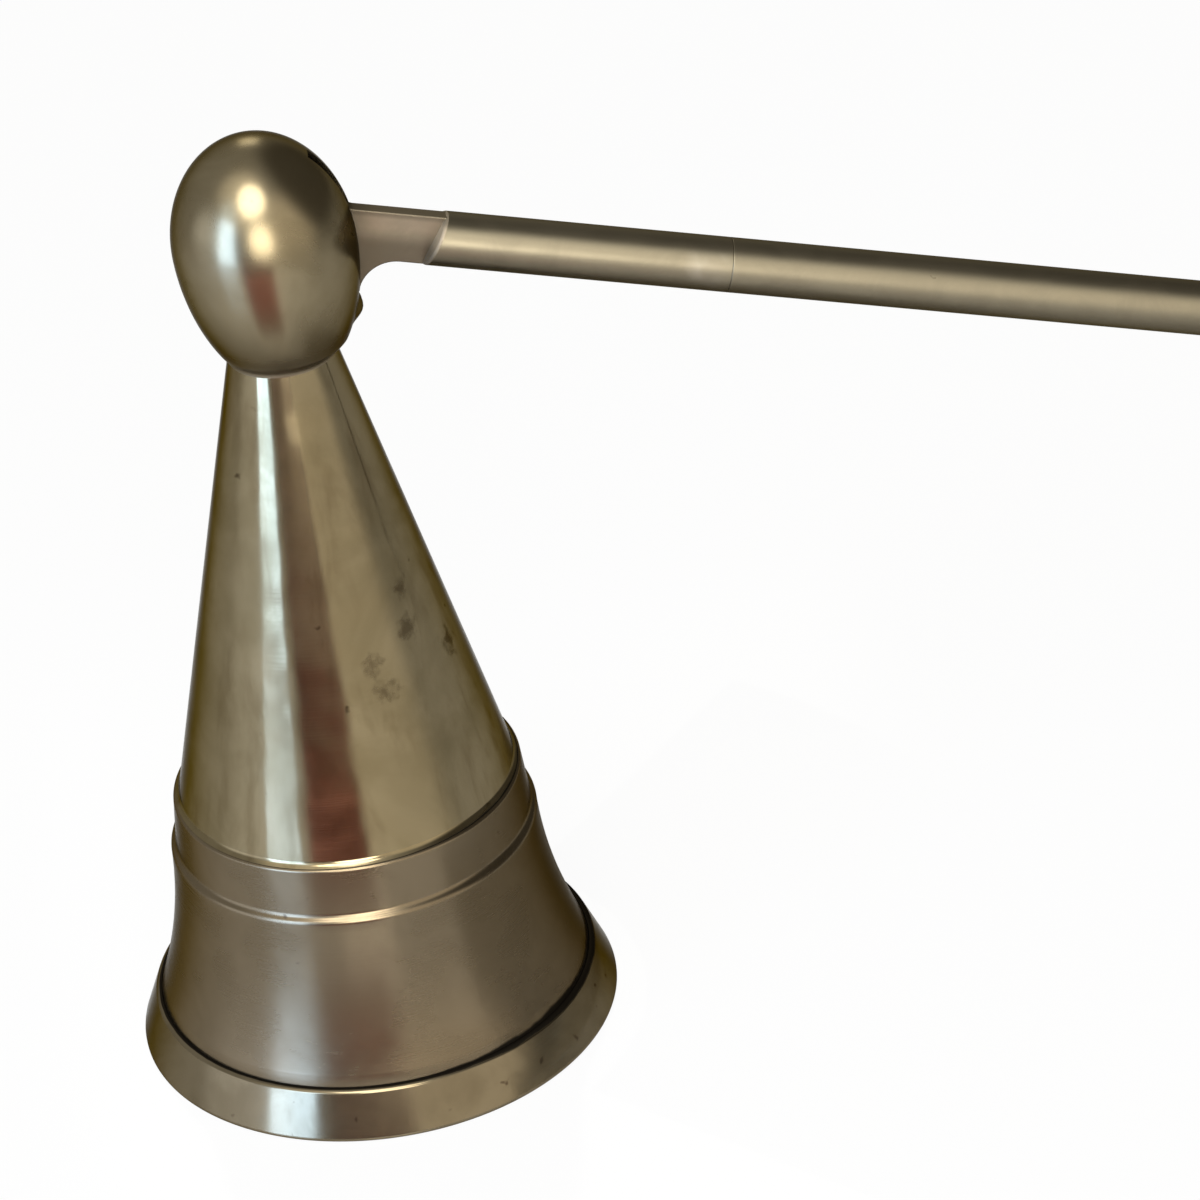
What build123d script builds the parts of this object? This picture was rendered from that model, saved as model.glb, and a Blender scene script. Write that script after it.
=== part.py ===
from build123d import *
import os
from math import asin, atan, atan2, cos, degrees, hypot, radians, sin, sqrt, tan

# Hinged candle snuffer, in millimetres. The bell stands on its rim about the Z axis, and the rim's
# centre on the table is the origin. The handle leans down along +X until its end knob meets the table.

# Clearances, and how far a cut runs past what it cuts
solder_gap = 0.05
running_gap = 0.05
slot_side_gap = 0.06
stop_gap = 0.1
eye_gap = 0.25
overrun = 5.0
snap = 0.001

# Widest that an edge's rounding may be, as a share of the land that it runs on
round_share = 0.9

# Rim ring: a heavy turned ring, wider at the table than at its top
rim_radius = 17.95
rim_height = 3.65
rim_flare = 1.5
rim_land = 0.34
rim_seat_height = 1.4
rim_shoulder_round = 0.42
rim_edge_round = 0.4

# Skirt: a hollow flare, with a straight foot inside the rim ring
skirt_flare = 2.5
skirt_height = 12.75
skirt_hollow = 0.57
skirt_wall = 1.3
skirt_edge_round = 0.3

# Collar: the plain band at the skirt's top, set in by a step, with a socket for the cone
collar_step = 0.4
collar_taper = 0.35
collar_height = 4.1
collar_wall = 1.1
collar_edge_round = 0.25
socket_depth = 3.0

# Cone: straight and hollow, with a spigot below and a solid boss at its top
cone_step = 0.4
cone_top_radius = 3.85
cone_height = 35.5
cone_wall = 1.2
spigot_wall = 1.2
boss_height = 9.0

# Ball: an egg, round above and drawn out below, that leans a little away from the handle
ball_radius = 6.44
ball_rise = 8.12
ball_drop = 11.07
ball_seat_drop = 8.5
ball_shift = -0.08
ball_lean = 3.5
ball_foot_round = 0.2

# Stud that holds the ball on the cone
stud_radius = 1.75
stud_in_cone = 6.0
stud_in_ball = 4.5

# Hinge: height of its axis above the cone, its pin, and how far the handle swings from rest
pivot_rise = 10.12
pin_radius = 0.9
pin_near_end = 4.2
swing_up = 38.0
swing_down = 3.0

# Stop lip below the slot: how far under the ball's centre it lies, and how far it stands out
lip_drop = 5.85
lip_radius = 0.7
lip_proud = 0.4
lip_length = 2.6

# Rod and its tongue, with a concave heel below and a smaller brow above where it enters the ball
rod_radius = 1.95
tongue_length = 12.2
tongue_thick = 1.1
tongue_shoulder_slant = 17.0
heel_reach = 7.4
heel_round = 2.5
brow_reach = 5.2
brow_round = 0.9
seam_reach = 33.0
seam_chamfer = 0.1

# Stud inside the rod at its seam
rod_stud_radius = 1.0
rod_stud_half = 4.0

# End knob, and how far its centre is from the hinge
knob_radius = 5.4
knob_reach = 229.0
neck_radius = 3.0
neck_length = 1.2
neck_round = 0.4
tenon_radius = 1.5
tenon_length = 5.0

# Heights above the table
skirt_top_z = rim_height + skirt_height
collar_top_z = skirt_top_z + collar_height
socket_floor_z = collar_top_z - socket_depth
cone_top_z = collar_top_z + cone_height
boss_floor_z = cone_top_z - boss_height
ball_z = cone_top_z + ball_seat_drop
pivot_z = cone_top_z + pivot_rise

# Radii of the bell, each set in from the one before it
rim_seat_radius = rim_radius - rim_flare - rim_land
skirt_foot_radius = rim_seat_radius - solder_gap
skirt_top_radius = skirt_foot_radius - skirt_flare
collar_foot_radius = skirt_top_radius - collar_step
collar_top_radius = collar_foot_radius - collar_taper
cone_foot_radius = collar_top_radius - cone_step

# Radii that mating pieces share
rim_bore = skirt_foot_radius - skirt_wall
socket_radius = collar_top_radius - collar_wall
spigot_radius = socket_radius - solder_gap
spigot_bore = spigot_radius - spigot_wall
stud_hole_radius = stud_radius + solder_gap
rod_stud_hole_radius = rod_stud_radius + solder_gap

# The knob rests on the table, and that gives the rod its slope
droop = degrees(asin((pivot_z - knob_radius) / knob_reach))
pivot = Vector(0, 0, pivot_z)
rod_direction = Vector(cos(radians(droop)), 0, -sin(radians(droop)))
knob_centre = pivot + rod_direction * knob_reach
neck_reach = knob_radius + neck_length
rod_end = knob_reach - neck_reach

# Planes of the hinge, of the rod lying flat in the swing, and of sections square to the rod
swing_normal = (0, -1, 0)
slot_plane = Plane(origin=pivot, x_dir=(1, 0, 0), z_dir=swing_normal)
plate_plane = Plane(origin=pivot, x_dir=rod_direction, z_dir=swing_normal)
knob_plane = Plane(origin=knob_centre, x_dir=rod_direction, z_dir=swing_normal)
rod_axis = Axis(pivot, rod_direction)
pin_plane = Plane(origin=(0, -pin_near_end, pivot_z), z_dir=(0, 1, 0))
neck_top = Plane.XY.offset(cone_top_z)

# Frame of the leaning ball
lean_angle = radians(ball_lean)
ball_plane = Plane(
    origin=(ball_shift, 0, ball_z),
    x_dir=(cos(lean_angle), 0, sin(lean_angle)),
    z_dir=swing_normal,
)
ball_axis = Axis(ball_plane.origin, ball_plane.y_dir)

# Corners of the tongue, along the rod and square to it: heel below, brow above
tongue_edge = sqrt(rod_radius**2 - (tongue_thick / 2) ** 2)
heel_drop = tongue_edge + heel_round
brow_rise = tongue_edge + brow_round
eye_radius = rod_radius


def edge_angle(reach, rise):
    """Angle of the straight edge that leaves the eye as a tangent and ends at a corner of the tongue."""
    lead = asin(eye_radius / hypot(reach, rise))
    corner = atan2(rise, reach)
    return degrees(corner + lead) if rise < 0 else degrees(corner - lead)


heel_angle = edge_angle(heel_reach, -heel_drop)
brow_angle = edge_angle(brow_reach, brow_rise)

# Slot walls lie along those edges at the two ends of the swing
slot_floor_angle = heel_angle - droop - swing_down
slot_roof_angle = brow_angle - droop + swing_up


def turned(distance, angle):
    """A point at a distance from the hinge, at an angle above level in the plane of the swing."""
    return Vector(distance * cos(radians(angle)), distance * sin(radians(angle)))


def rod_section(reach):
    """The plane square to the rod at a distance from the hinge, facing the knob."""
    return Plane(origin=pivot + rod_direction * reach, z_dir=rod_direction)


def outer_ring(edges, height):
    """The widest round edge at a height."""
    level = edges.filter_by(GeomType.CIRCLE).filter_by_position(Axis.Z, height - snap, height + snap)
    return level.sort_by(SortBy.RADIUS)[-1]


os.makedirs("parts", exist_ok=True)

# Rim ring
rim_slope = degrees(atan(rim_flare / rim_height))
rim_shoulder = min(rim_shoulder_round, round_share * rim_land * tan(radians((90 + rim_slope) / 2)))
with BuildPart() as rim_ring:
    with BuildSketch(Plane.XZ):
        with BuildLine():
            Polyline(
                (rim_bore, 0),
                (rim_radius, 0),
                (rim_radius - rim_flare, rim_height),
                (rim_seat_radius, rim_height),
                (rim_seat_radius, rim_seat_height),
                (rim_bore, rim_seat_height),
                close=True,
            )
        make_face()
    revolve(axis=Axis.Z)
    fillet(outer_ring(rim_ring.edges(), rim_height), radius=rim_shoulder)
    fillet(outer_ring(rim_ring.edges(), 0), radius=rim_edge_round)
rim_ring.part.label = "rim_ring"
export_step(rim_ring.part, "parts/rim_ring.step")

# Skirt with its collar
skirt_round = min(skirt_edge_round, round_share * collar_step)
collar_round = min(collar_edge_round, round_share * cone_step)
with BuildPart() as skirt:
    with BuildSketch(Plane.XZ):
        with BuildLine():
            Polyline(
                (rim_bore, rim_height),
                (rim_bore, rim_seat_height),
                (skirt_foot_radius, rim_seat_height),
                (skirt_foot_radius, rim_height),
            )
            SagittaArc((skirt_foot_radius, rim_height), (skirt_top_radius, skirt_top_z), skirt_hollow)
            Polyline(
                (skirt_top_radius, skirt_top_z),
                (collar_foot_radius, skirt_top_z),
                (collar_top_radius, collar_top_z),
                (socket_radius, collar_top_z),
                (socket_radius, socket_floor_z),
                (spigot_bore, socket_floor_z),
                (spigot_bore, skirt_top_z),
                (skirt_top_radius - skirt_wall, skirt_top_z),
            )
            SagittaArc((rim_bore, rim_height), (skirt_top_radius - skirt_wall, skirt_top_z), skirt_hollow)
        make_face()
    revolve(axis=Axis.Z)
    fillet(outer_ring(skirt.edges(), skirt_top_z), radius=skirt_round)
    fillet(outer_ring(skirt.edges(), collar_top_z), radius=collar_round)
skirt.part.label = "skirt"
export_step(skirt.part, "parts/skirt.step")

# Cone, whose bore runs straight up from the spigot until the sloping wall takes over
cone_slope = (cone_foot_radius - cone_top_radius) / cone_height
bore_top_z = collar_top_z + (cone_foot_radius - cone_wall - spigot_bore) / cone_slope
boss_bore = cone_top_radius + cone_slope * boss_height - cone_wall
with BuildPart() as cone:
    with BuildSketch(Plane.XZ):
        with BuildLine():
            Polyline(
                (0, cone_top_z),
                (cone_top_radius, cone_top_z),
                (cone_foot_radius, collar_top_z),
                (spigot_radius, collar_top_z),
                (spigot_radius, socket_floor_z),
                (spigot_bore, socket_floor_z),
                (spigot_bore, bore_top_z),
                (boss_bore, boss_floor_z),
                (0, boss_floor_z),
                close=True,
            )
        make_face()
    revolve(axis=Axis.Z)
    with Locations(neck_top):
        Hole(stud_hole_radius, depth=stud_in_cone + solder_gap)
cone.part.label = "cone"
export_step(cone.part, "parts/cone.step")

# Stud in the neck
with BuildPart() as ball_stud:
    with BuildSketch(Plane.XY.offset(cone_top_z - stud_in_cone)):
        Circle(stud_radius)
    extrude(amount=stud_in_cone + stud_in_ball)
ball_stud.part.label = "ball_stud"
export_step(ball_stud.part, "parts/ball_stud.step")

# Half outline of the ball on its own leaning axis, on the side away from the handle, to be turned
with BuildSketch(ball_plane) as egg:
    with BuildLine():
        EllipticalCenterArc((0, 0), ball_radius, ball_rise, start_angle=90, arc_size=90)
        EllipticalCenterArc((0, 0), ball_radius, ball_drop, start_angle=180, arc_size=90)
        Line((0, ball_rise), (0, -ball_drop))
    make_face()

# Ball: egg and stop lip, flat below, then the slot, the pin's blind hole and the stud's hole
lip_side = ball_radius * sqrt(1 - (lip_drop / ball_drop) ** 2)
lip_normal = Vector(lip_side / ball_radius**2, -lip_drop / ball_drop**2).normalized()
lip_centre = Vector(lip_side, -lip_drop) + lip_normal * (lip_proud - lip_radius)
slot_reach = ball_drop + overrun
slot_floor = turned(eye_radius + stop_gap, slot_floor_angle - 90)
slot_roof = turned(eye_radius + stop_gap, slot_roof_angle + 90)
with BuildPart() as ball:
    revolve(egg.sketch, axis=ball_axis)
    with BuildSketch(ball_plane):
        with Locations(lip_centre):
            Circle(lip_radius)
    extrude(amount=lip_length / 2, both=True)
    with BuildSketch(neck_top):
        Rectangle(2 * slot_reach, 2 * slot_reach)
    extrude(amount=-slot_reach, mode=Mode.SUBTRACT)
    fillet(ball.faces().sort_by(Axis.Z)[0].outer_wire().edges(), radius=ball_foot_round)
    with BuildSketch(slot_plane):
        with BuildLine():
            Polyline(
                slot_floor,
                slot_floor + turned(slot_reach, slot_floor_angle),
                slot_roof + turned(slot_reach, slot_roof_angle),
                slot_roof,
                close=True,
            )
        make_face()
        Circle(eye_radius + eye_gap)
    extrude(amount=tongue_thick / 2 + slot_side_gap, both=True, mode=Mode.SUBTRACT)
    with BuildSketch(pin_plane.offset(-solder_gap)):
        Circle(pin_radius)
    extrude(amount=pin_near_end + ball_radius + overrun, mode=Mode.SUBTRACT)
    with Locations(-neck_top):
        Hole(stud_hole_radius, depth=stud_in_ball + solder_gap)
ball.part.label = "ball"
export_step(ball.part, "parts/ball.step")

# Hinge pin, driven in from the far side and dressed flush with the ball
with BuildPart() as hinge_pin:
    with BuildSketch(pin_plane):
        Circle(pin_radius)
    extrude(amount=pin_near_end + ball_radius)
    revolve(egg.sketch, axis=ball_axis, mode=Mode.INTERSECT)
hinge_pin.part.label = "hinge_pin"
export_step(hinge_pin.part, "parts/hinge_pin.step")

# Front rod: round stock, milled flat on both sides for the tongue, with the eye, heel and brow
eye_below = turned(eye_radius, heel_angle - 90)
eye_above = turned(eye_radius, brow_angle + 90)
shoulder_lean = tan(radians(tongue_shoulder_slant)) * rod_radius
with BuildPart() as front_rod:
    with BuildSketch(rod_section(0)):
        Circle(rod_radius)
    extrude(amount=seam_reach)
    chamfer(front_rod.edges().sort_by(rod_axis)[-1], length=seam_chamfer)
    for side in (1, -1):
        with BuildSketch(plate_plane.offset(side * tongue_thick / 2)):
            with BuildLine():
                Polyline(
                    (-rod_radius, -rod_radius),
                    (tongue_length - shoulder_lean, -rod_radius),
                    (tongue_length + shoulder_lean, rod_radius),
                    (-rod_radius, rod_radius),
                    close=True,
                )
            make_face()
        extrude(amount=side * rod_radius, mode=Mode.SUBTRACT)
    with BuildSketch(plate_plane):
        with BuildLine():
            Line(eye_below, (heel_reach, -heel_drop))
            RadiusArc((heel_reach, -heel_drop), (heel_reach + heel_round, -tongue_edge), heel_round)
            Line((heel_reach + heel_round, -tongue_edge), (brow_reach + brow_round, tongue_edge))
            RadiusArc((brow_reach + brow_round, tongue_edge), (brow_reach, brow_rise), brow_round)
            Line((brow_reach, brow_rise), eye_above)
            Line(eye_above, eye_below)
        make_face()
        Circle(eye_radius)
    extrude(amount=tongue_thick / 2, both=True)
    with BuildSketch(plate_plane):
        Circle(pin_radius + running_gap)
    extrude(amount=tongue_thick, both=True, mode=Mode.SUBTRACT)
    with Locations(rod_section(seam_reach)):
        Hole(rod_stud_hole_radius, depth=rod_stud_half + solder_gap)
front_rod.part.label = "front_rod"
export_step(front_rod.part, "parts/front_rod.step")

# Stud inside the rod
with BuildPart() as rod_stud:
    with BuildSketch(rod_section(seam_reach - rod_stud_half)):
        Circle(rod_stud_radius)
    extrude(amount=2 * rod_stud_half)
rod_stud.part.label = "rod_stud"
export_step(rod_stud.part, "parts/rod_stud.step")

# Rear rod, from the seam to the knob, with a turned tenon
with BuildPart() as rear_rod:
    with BuildSketch(rod_section(seam_reach)):
        Circle(rod_radius)
    extrude(amount=rod_end - seam_reach)
    chamfer(rear_rod.edges().sort_by(rod_axis)[0], length=seam_chamfer)
    with BuildSketch(rod_section(rod_end)):
        Circle(tenon_radius)
    extrude(amount=tenon_length)
    with Locations(-rod_section(seam_reach)):
        Hole(rod_stud_hole_radius, depth=rod_stud_half + solder_gap)
rear_rod.part.label = "rear_rod"
export_step(rear_rod.part, "parts/rear_rod.step")

# End knob: a turned ball with a short neck, bored for the tenon
with BuildPart() as end_knob:
    with BuildSketch(knob_plane):
        Circle(knob_radius)
        with Locations((-neck_reach / 2, 0)):
            Rectangle(neck_reach, 2 * neck_radius)
        Rectangle(
            2 * neck_reach + overrun,
            2 * knob_radius,
            align=(Align.CENTER, Align.MIN),
            mode=Mode.INTERSECT,
        )
    revolve(axis=Axis(knob_centre, rod_direction))
    fillet(end_knob.edges().filter_by(GeomType.CIRCLE).sort_by(rod_axis)[0], radius=neck_round)
    with Locations(-rod_section(rod_end)):
        Hole(tenon_radius + solder_gap, depth=tenon_length + solder_gap)
end_knob.part.label = "end_knob"
export_step(end_knob.part, "parts/end_knob.step")
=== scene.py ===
import math

import bmesh
import bpy
from mathutils import Matrix, Vector


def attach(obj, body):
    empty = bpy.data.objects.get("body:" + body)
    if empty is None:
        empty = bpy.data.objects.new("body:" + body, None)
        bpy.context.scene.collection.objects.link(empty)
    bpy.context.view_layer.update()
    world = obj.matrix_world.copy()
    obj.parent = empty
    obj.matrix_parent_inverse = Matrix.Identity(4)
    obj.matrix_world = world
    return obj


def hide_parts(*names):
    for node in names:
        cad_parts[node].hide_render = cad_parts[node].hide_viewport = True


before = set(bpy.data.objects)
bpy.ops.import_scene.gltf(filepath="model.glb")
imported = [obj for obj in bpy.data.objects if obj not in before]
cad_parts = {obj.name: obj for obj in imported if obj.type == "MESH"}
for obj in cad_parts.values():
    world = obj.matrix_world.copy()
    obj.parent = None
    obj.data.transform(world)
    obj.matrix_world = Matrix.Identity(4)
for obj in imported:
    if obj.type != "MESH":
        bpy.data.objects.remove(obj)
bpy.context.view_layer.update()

# Rim ring. A heavy brass ring, turned on a lathe and polished, with a rounded shoulder and a worn lower
# edge. It is slipped over the skirt's foot and soldered, and the bell stands on it.
mm = 0.001
rim_radius = 17.95 * mm
rim_height = 3.65 * mm
rim_top_radius = 16.45 * mm
rim_seat_radius = 16.11 * mm
rim_seat_height = 1.4 * mm
rim_bore = 14.76 * mm


def draw_outline(corners):
    """A half section as a closed wire in the XZ plane, from (radius, height) corners."""
    section = bmesh.new()
    points = [section.verts.new((radius, 0, height)) for radius, height in corners]
    for here, there in zip(points, points[1:] + points[:1]):
        section.edges.new((here, there))
    return section, points


def round_corner(section, corner, reach):
    """Rounds one corner of a wire, starting at a distance from it along both edges."""
    bmesh.ops.bevel(section, geom=[corner], affect="VERTICES", offset=reach, offset_type="OFFSET",
                    segments=6, profile=0.5, material=-1)


def turn_on_lathe(section, steps=240):
    """Spins a wire about the Z axis to a closed solid, with its long stretches cut into short rows."""
    for edge in section.edges[:]:
        rows = int(edge.calc_length() / (2 * mm))
        if rows:
            bmesh.ops.subdivide_edges(section, edges=[edge], cuts=rows)
    bmesh.ops.spin(section, geom=section.verts[:] + section.edges[:], cent=(0, 0, 0), axis=(0, 0, 1),
                   angle=math.tau, steps=steps, use_merge=True)
    bmesh.ops.remove_doubles(section, verts=section.verts[:], dist=0.0005 * mm)
    bmesh.ops.recalc_face_normals(section, faces=section.faces[:])
    return section


def finish_piece(name, shape, metal, node, body):
    """Makes the object of a finished shape, which stands for a CAD node and moves with its body."""
    mesh = bpy.data.meshes.new(name)
    shape.to_mesh(mesh)
    shape.free()
    mesh.shade_smooth()
    mesh.set_sharp_from_angle(angle=math.radians(38))
    mesh.materials.append(metal)
    piece = bpy.data.objects.new(name, mesh)
    bpy.context.scene.collection.objects.link(piece)
    piece.modifiers.new("even_normals", "WEIGHTED_NORMAL").keep_sharp = True
    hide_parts(node)
    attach(piece, body)
    return piece


def put(tree, kind, inputs=None, **settings):
    """Adds a node, with its settings, and with values or links on its inputs."""
    made = tree.nodes.new(kind)
    for key, value in settings.items():
        setattr(made, key, value)
    for key, value in (inputs or {}).items():
        if isinstance(value, bpy.types.NodeSocket):
            tree.links.new(value, made.inputs[key])
        else:
            made.inputs[key].default_value = value
    return made


def blend_colour(tree, share, first, second):
    """A colour between two, by a share that varies over the surface."""
    mix = put(tree, "ShaderNodeMix", data_type="RGBA")
    for socket, value in ((mix.inputs[0], share), (mix.inputs[6], first), (mix.inputs[7], second)):
        if isinstance(value, bpy.types.NodeSocket):
            tree.links.new(value, socket)
        else:
            socket.default_value = (*value, 1)
    return mix.outputs[2]


def fit_range(tree, value, low, high, to_low, to_high):
    """Maps a range of a value smoothly to another range."""
    return put(tree, "ShaderNodeMapRange", {"Value": value, "From Min": low, "From Max": high,
                                            "To Min": to_low, "To Max": to_high},
               interpolation_type="SMOOTHSTEP").outputs[0]


def sums(tree, kind, first, second):
    """One step of arithmetic on two values."""
    return put(tree, "ShaderNodeMath", {0: first, 1: second}, operation=kind).outputs[0]


def start_group(name, inputs, outputs):
    """A shader node group with named number inputs and outputs."""
    group = bpy.data.node_groups.new(name, "ShaderNodeTree")
    for label, value in inputs.items():
        group.interface.new_socket(label, in_out="INPUT", socket_type="NodeSocketFloat").default_value = value
    for label in outputs:
        group.interface.new_socket(label, in_out="OUTPUT", socket_type="NodeSocketFloat")
    return group, group.nodes.new("NodeGroupInput"), group.nodes.new("NodeGroupOutput")


def place_group(tree, group, **values):
    """Puts a shared group in a material with its own values."""
    made = tree.nodes.new("ShaderNodeGroup")
    made.node_tree = group
    for label, value in values.items():
        made.inputs[label].default_value = value
    return made.outputs


# Tarnish: slow clouding of the metal, and small dark specks where the lacquer has gone
tarnish, tarnish_in, tarnish_out = start_group(
    "tarnish", {"Cloud": 150, "Speck": 700, "Rarity": 0.7}, ("Clouding", "Specks"))
place = put(tarnish, "ShaderNodeTexCoord").outputs["Object"]
clouds = put(tarnish, "ShaderNodeTexNoise", {"Vector": place, "Scale": tarnish_in.outputs["Cloud"],
                                             "Detail": 5, "Roughness": 0.6, "Distortion": 0.5}).outputs["Fac"]
specks = put(tarnish, "ShaderNodeTexNoise", {"Vector": place, "Scale": tarnish_in.outputs["Speck"],
                                             "Detail": 2, "Roughness": 0.5}).outputs["Fac"]
speck_edge = sums(tarnish, "ADD", tarnish_in.outputs["Rarity"], 0.07)
tarnish.links.new(fit_range(tarnish, clouds, 0.34, 0.68, 0, 1), tarnish_out.inputs["Clouding"])
tarnish.links.new(fit_range(tarnish, specks, tarnish_in.outputs["Rarity"], speck_edge, 0, 1),
                  tarnish_out.inputs["Specks"])

# Tool lines: fine rings left by the lathe and the polishing mop, close together up the axis
tool_lines, lines_in, lines_out = start_group("tool_lines", {"Lines per metre": 9000}, ("Lines",))
axes = put(tool_lines, "ShaderNodeSeparateXYZ",
           {"Vector": put(tool_lines, "ShaderNodeTexCoord").outputs["Object"]}).outputs
line_place = put(tool_lines, "ShaderNodeCombineXYZ",
                 {"X": sums(tool_lines, "MULTIPLY", axes["X"], 60),
                  "Y": sums(tool_lines, "MULTIPLY", axes["Y"], 60),
                  "Z": sums(tool_lines, "MULTIPLY", axes["Z"], lines_in.outputs["Lines per metre"])}).outputs[0]
tool_lines.links.new(put(tool_lines, "ShaderNodeTexNoise", {"Vector": line_place, "Scale": 1, "Detail": 3,
                                                            "Roughness": 0.65}).outputs["Fac"],
                     lines_out.inputs["Lines"])

# Painted shade and grime: dark polish and dirt that stays in a turned corner, together with painted shade there,
# most of all under the handle
shade_and_grime, shade_and_grime_in, shade_and_grime_out = start_group("shade_and_grime", {"Height": 0, "Reach": 0.001}, ("Shade and grime",))
shade_and_grime_place = put(shade_and_grime, "ShaderNodeTexCoord").outputs["Object"]
shade_and_grime_axes = put(shade_and_grime, "ShaderNodeSeparateXYZ", {"Vector": shade_and_grime_place}).outputs
# The band reaches furthest on the handle's side, where the bell's right side is painted darker
shade_and_grime_reach = sums(shade_and_grime, "MULTIPLY", shade_and_grime_in.outputs["Reach"],
                   fit_range(shade_and_grime, shade_and_grime_axes["X"], 0, 0.012, 0.12, 1))
ragged = put(shade_and_grime, "ShaderNodeTexNoise", {"Vector": shade_and_grime_place, "Scale": 260, "Detail": 4,
                                           "Roughness": 0.6}).outputs["Fac"]
away = put(shade_and_grime, "ShaderNodeMath", {0: sums(shade_and_grime, "SUBTRACT", shade_and_grime_axes["Z"], shade_and_grime_in.outputs["Height"])},
           operation="ABSOLUTE").outputs[0]
away = sums(shade_and_grime, "DIVIDE", away, shade_and_grime_reach)
away = sums(shade_and_grime, "ADD", away, sums(shade_and_grime, "MULTIPLY", sums(shade_and_grime, "SUBTRACT", ragged, 0.5), 1.6))
shade_and_grime.links.new(fit_range(shade_and_grime, away, 0.35, 1.0, 1, 0), shade_and_grime_out.inputs["Shade and grime"])

# Colour of the painted corner shade and grime
shade_and_grime_colour = (0.018, 0.015, 0.011)


def start_metal(name, edge_tint):
    """A metal material with its shader, whose edge tint keeps glancing reflections from going white."""
    metal = bpy.data.materials.new(name)
    metal.use_nodes = True
    tree = metal.node_tree
    shader = tree.nodes["Principled BSDF"]
    shader.inputs["Metallic"].default_value = 1
    shader.inputs["Specular Tint"].default_value = (*edge_tint, 1)
    return metal, tree, shader.inputs


def dent(tree, height, depth, under=None):
    """A bump of a real depth from a height that varies over the surface."""
    inputs = {"Height": height, "Strength": 1, "Distance": depth}
    if under is not None:
        inputs["Normal"] = under
    return put(tree, "ShaderNodeBump", inputs).outputs[0]


def broad_dents(tree, scale):
    """Slow unevenness of hand-polished metal, which makes reflections waver."""
    return put(tree, "ShaderNodeTexNoise", {"Vector": put(tree, "ShaderNodeTexCoord").outputs["Object"],
                                            "Scale": scale, "Detail": 1, "Roughness": 0.4}).outputs["Fac"]


rim_brass, tree, into = start_metal("polished_rim_brass", (0.3, 0.28, 0.25))
rim_tarnish = place_group(tree, tarnish, Cloud=210, Speck=900, Rarity=0.69)
rim_lines = place_group(tree, tool_lines, **{"Lines per metre": 14000})["Lines"]
# Painted shade and grime in the groove at the top of the rim, where the skirt stands in it
rim_shade_and_grime = place_group(tree, shade_and_grime, Height=rim_height, Reach=0.28 * mm)["Shade and grime"]
colour = blend_colour(tree, rim_tarnish["Clouding"], (0.205, 0.17, 0.112), (0.165, 0.134, 0.085))
colour = blend_colour(tree, rim_tarnish["Specks"], colour, (0.09, 0.065, 0.04))
tree.links.new(blend_colour(tree, rim_shade_and_grime, colour, shade_and_grime_colour), into["Base Color"])
shine = fit_range(tree, rim_tarnish["Clouding"], 0, 1, 0.13, 0.18)
tree.links.new(sums(tree, "MAXIMUM", shine, sums(tree, "MULTIPLY", rim_shade_and_grime, 0.6)), into["Roughness"])
tree.links.new(dent(tree, rim_lines, 0.0012 * mm, dent(tree, broad_dents(tree, 150), 0.03 * mm)),
               into["Normal"])

section, corners = draw_outline([(rim_bore, 0), (rim_radius, 0), (rim_top_radius, rim_height),
                                 (rim_seat_radius, rim_height), (rim_seat_radius, rim_seat_height),
                                 (rim_bore, rim_seat_height)])
round_corner(section, corners[1], 0.4 * mm)
round_corner(section, corners[2], 0.28 * mm)
finish_piece("rim_ring_turned", turn_on_lathe(section), rim_brass, "rim_ring", "bell")

# Skirt. The flared lower bell, turned from brass with a satin finish, with a plain collar band at its top.
# Its straight foot sits in the rim ring, and its collar is bored as a socket for the cone.
skirt_foot_radius = 16.06 * mm
skirt_top_radius = 13.56 * mm
skirt_top = 16.4 * mm
skirt_hollow = 0.57 * mm
skirt_wall = 1.3 * mm
collar_foot_radius = 13.16 * mm
collar_top_radius = 12.81 * mm
collar_top = 20.5 * mm
socket_radius = 11.71 * mm
socket_floor = 17.5 * mm
spigot_bore = 10.46 * mm
step_wear = 0.32 * mm


def hollow_curve(section, corner, end, hollow, steps=14):
    """Swings a corner of a wire along a shallow arc to an end point, bowed in towards the axis."""
    start = corner.co.copy()
    chord = Vector(end) - start
    radius = (chord.length ** 2 / 4 + hollow ** 2) / (2 * hollow)
    outward = Vector((chord.z, 0, -chord.x)).normalized()
    centre = start + chord / 2 + outward * (radius - hollow)
    swing = 2 * math.asin(chord.length / 2 / radius)
    arc = bmesh.ops.spin(section, geom=[corner], cent=centre, axis=(0, 1, 0), angle=swing, steps=steps)
    return next(part for part in arc["geom_last"] if isinstance(part, bmesh.types.BMVert))


satin_brass, tree, into = start_metal("satin_skirt_brass", (0.3, 0.28, 0.25))
skirt_tarnish = place_group(tree, tarnish, Cloud=170, Speck=800, Rarity=0.75)
skirt_lines = place_group(tree, tool_lines, **{"Lines per metre": 7000})["Lines"]
# Painted shade and grime at the skirt's foot, in the groove on the rim
skirt_shade_and_grime = place_group(tree, shade_and_grime, Height=rim_height, Reach=0.45 * mm)["Shade and grime"]
colour = blend_colour(tree, skirt_tarnish["Clouding"], (0.192, 0.153, 0.101), (0.165, 0.13, 0.084))
colour = blend_colour(tree, skirt_tarnish["Specks"], colour, (0.08, 0.06, 0.04))
tree.links.new(blend_colour(tree, skirt_shade_and_grime, colour, shade_and_grime_colour), into["Base Color"])
shine = sums(tree, "ADD", fit_range(tree, skirt_tarnish["Clouding"], 0, 1, 0.18, 0.24),
             sums(tree, "MULTIPLY", skirt_lines, 0.08))
tree.links.new(sums(tree, "MAXIMUM", shine, sums(tree, "MULTIPLY", skirt_shade_and_grime, 0.6)), into["Roughness"])
tree.links.new(dent(tree, skirt_lines, 0.002 * mm, dent(tree, broad_dents(tree, 120), 0.03 * mm)),
               into["Normal"])

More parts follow.
